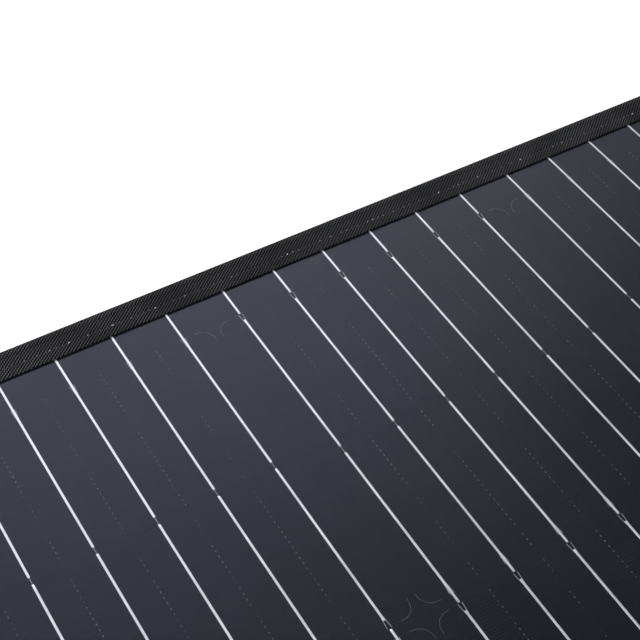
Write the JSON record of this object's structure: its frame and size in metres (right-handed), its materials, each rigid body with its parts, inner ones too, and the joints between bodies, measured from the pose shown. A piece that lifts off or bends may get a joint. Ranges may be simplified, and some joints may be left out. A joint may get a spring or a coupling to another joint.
{
  "type": "flexible solar sheet",
  "caption": "Thin flexible solar sheet of half-cut cells with silver ribbons, bound in black woven tape, with corner eyelets and a flat junction box.",
  "frame": {"origin": "middle of the underside of the bound edge, under the middle of the sheet", "axes": "+Z out of the cell face, +Y towards the far bound edge, away from the junction box, +X along the rows"},
  "size_m": [0.7354, 0.808, 0.019],
  "materials": {
    "film": "clear fluoropolymer front film, satin",
    "cell": "dark blue-black silicon with fine printed fingers",
    "ribbon": "tinned copper, satin silver",
    "backing": "black fibre-reinforced laminate with a woven rear face",
    "binding": "black twill-woven edge tape",
    "eyelet": "satin nickel",
    "box": "black moulded plastic, fine grain",
    "seal": "matt black rubber",
    "screw": "stainless, cross recess",
    "block": "natural insulating plastic",
    "terminal": "plain brass",
    "diode": "black moulded body",
    "gland": "black polyamide"
  },
  "bodies": {
    "row_1": {"front_sheet_1": "film", "cells_1": "cell", "ribbons_1": "ribbon", "back_sheet_1": "backing", "side_binding_1": "binding", "far_binding": "binding", "eyelets_far": "eyelet", "eyelet_washers_far": "eyelet", "far_bus_ribbons": "ribbon"},
    "row_2": {"front_sheet_2": "film", "cells_2": "cell", "ribbons_2": "ribbon", "back_sheet_2": "backing", "side_binding_2": "binding"},
    "row_3": {"front_sheet_3": "film", "cells_3": "cell", "ribbons_3": "ribbon", "back_sheet_3": "backing", "side_binding_3": "binding"},
    "row_4": {"front_sheet_4": "film", "cells_4": "cell", "ribbons_4": "ribbon", "back_sheet_4": "backing", "side_binding_4": "binding"},
    "row_5": {"front_sheet_5": "film", "cells_5": "cell", "ribbons_5": "ribbon", "back_sheet_5": "backing", "side_binding_5": "binding"},
    "row_6": {"front_sheet_6": "film", "cells_6": "cell", "ribbons_6": "ribbon", "back_sheet_6": "backing", "side_binding_6": "binding"},
    "row_7": {"front_sheet_7": "film", "cells_7": "cell", "ribbons_7": "ribbon", "back_sheet_7": "backing", "side_binding_7": "binding"},
    "row_8": {"front_sheet_8": "film", "cells_8": "cell", "ribbons_8": "ribbon", "back_sheet_8": "backing", "side_binding_8": "binding", "near_binding": "binding", "eyelets_near": "eyelet", "eyelet_washers_near": "eyelet", "near_bus_ribbons": "ribbon", "junction_box_base": "box", "junction_box_gasket": "seal", "junction_box_lid": "box", "lid_screws": "screw", "terminal_block": "block", "terminal_clips": "terminal", "bypass_diodes": "diode", "gland_bodies": "gland", "gland_locknuts": "gland", "gland_seals": "seal", "gland_caps": "gland"}
  },
  "joints": [
    {"name": "flex_1", "type": "hinge", "parent": "row_2", "child": "row_1", "pos_m": [0, 0.287, 0.00195], "axis": [1, 0, 0], "range_deg": [-6, 6], "stiffness_Nm_per_rad": 30},
    {"name": "flex_2", "type": "hinge", "parent": "row_3", "child": "row_2", "pos_m": [0, 0.2, 0.00195], "axis": [1, 0, 0], "range_deg": [-6, 6], "stiffness_Nm_per_rad": 30},
    {"name": "flex_3", "type": "hinge", "parent": "row_4", "child": "row_3", "pos_m": [0, 0.113, 0.00195], "axis": [1, 0, 0], "range_deg": [-6, 6], "stiffness_Nm_per_rad": 30},
    {"name": "flex_4", "type": "hinge", "parent": "row_4", "child": "row_5", "pos_m": [0, 0.026, 0.00195], "axis": [-1, 0, 0], "range_deg": [-6, 6], "stiffness_Nm_per_rad": 30},
    {"name": "flex_5", "type": "hinge", "parent": "row_5", "child": "row_6", "pos_m": [0, -0.061, 0.00195], "axis": [-1, 0, 0], "range_deg": [-6, 6], "stiffness_Nm_per_rad": 30},
    {"name": "flex_6", "type": "hinge", "parent": "row_6", "child": "row_7", "pos_m": [0, -0.148, 0.00195], "axis": [-1, 0, 0], "range_deg": [-6, 6], "stiffness_Nm_per_rad": 30},
    {"name": "flex_7", "type": "hinge", "parent": "row_7", "child": "row_8", "pos_m": [0, -0.235, 0.00195], "axis": [-1, 0, 0], "range_deg": [-6, 6], "stiffness_Nm_per_rad": 30}
  ],
  "couplings": [
    {"joint": "flex_1", "follows": "flex_4", "ratio": 1},
    {"joint": "flex_2", "follows": "flex_4", "ratio": 1},
    {"joint": "flex_3", "follows": "flex_4", "ratio": 1},
    {"joint": "flex_5", "follows": "flex_4", "ratio": 1},
    {"joint": "flex_6", "follows": "flex_4", "ratio": 1},
    {"joint": "flex_7", "follows": "flex_4", "ratio": 1}
  ]
}
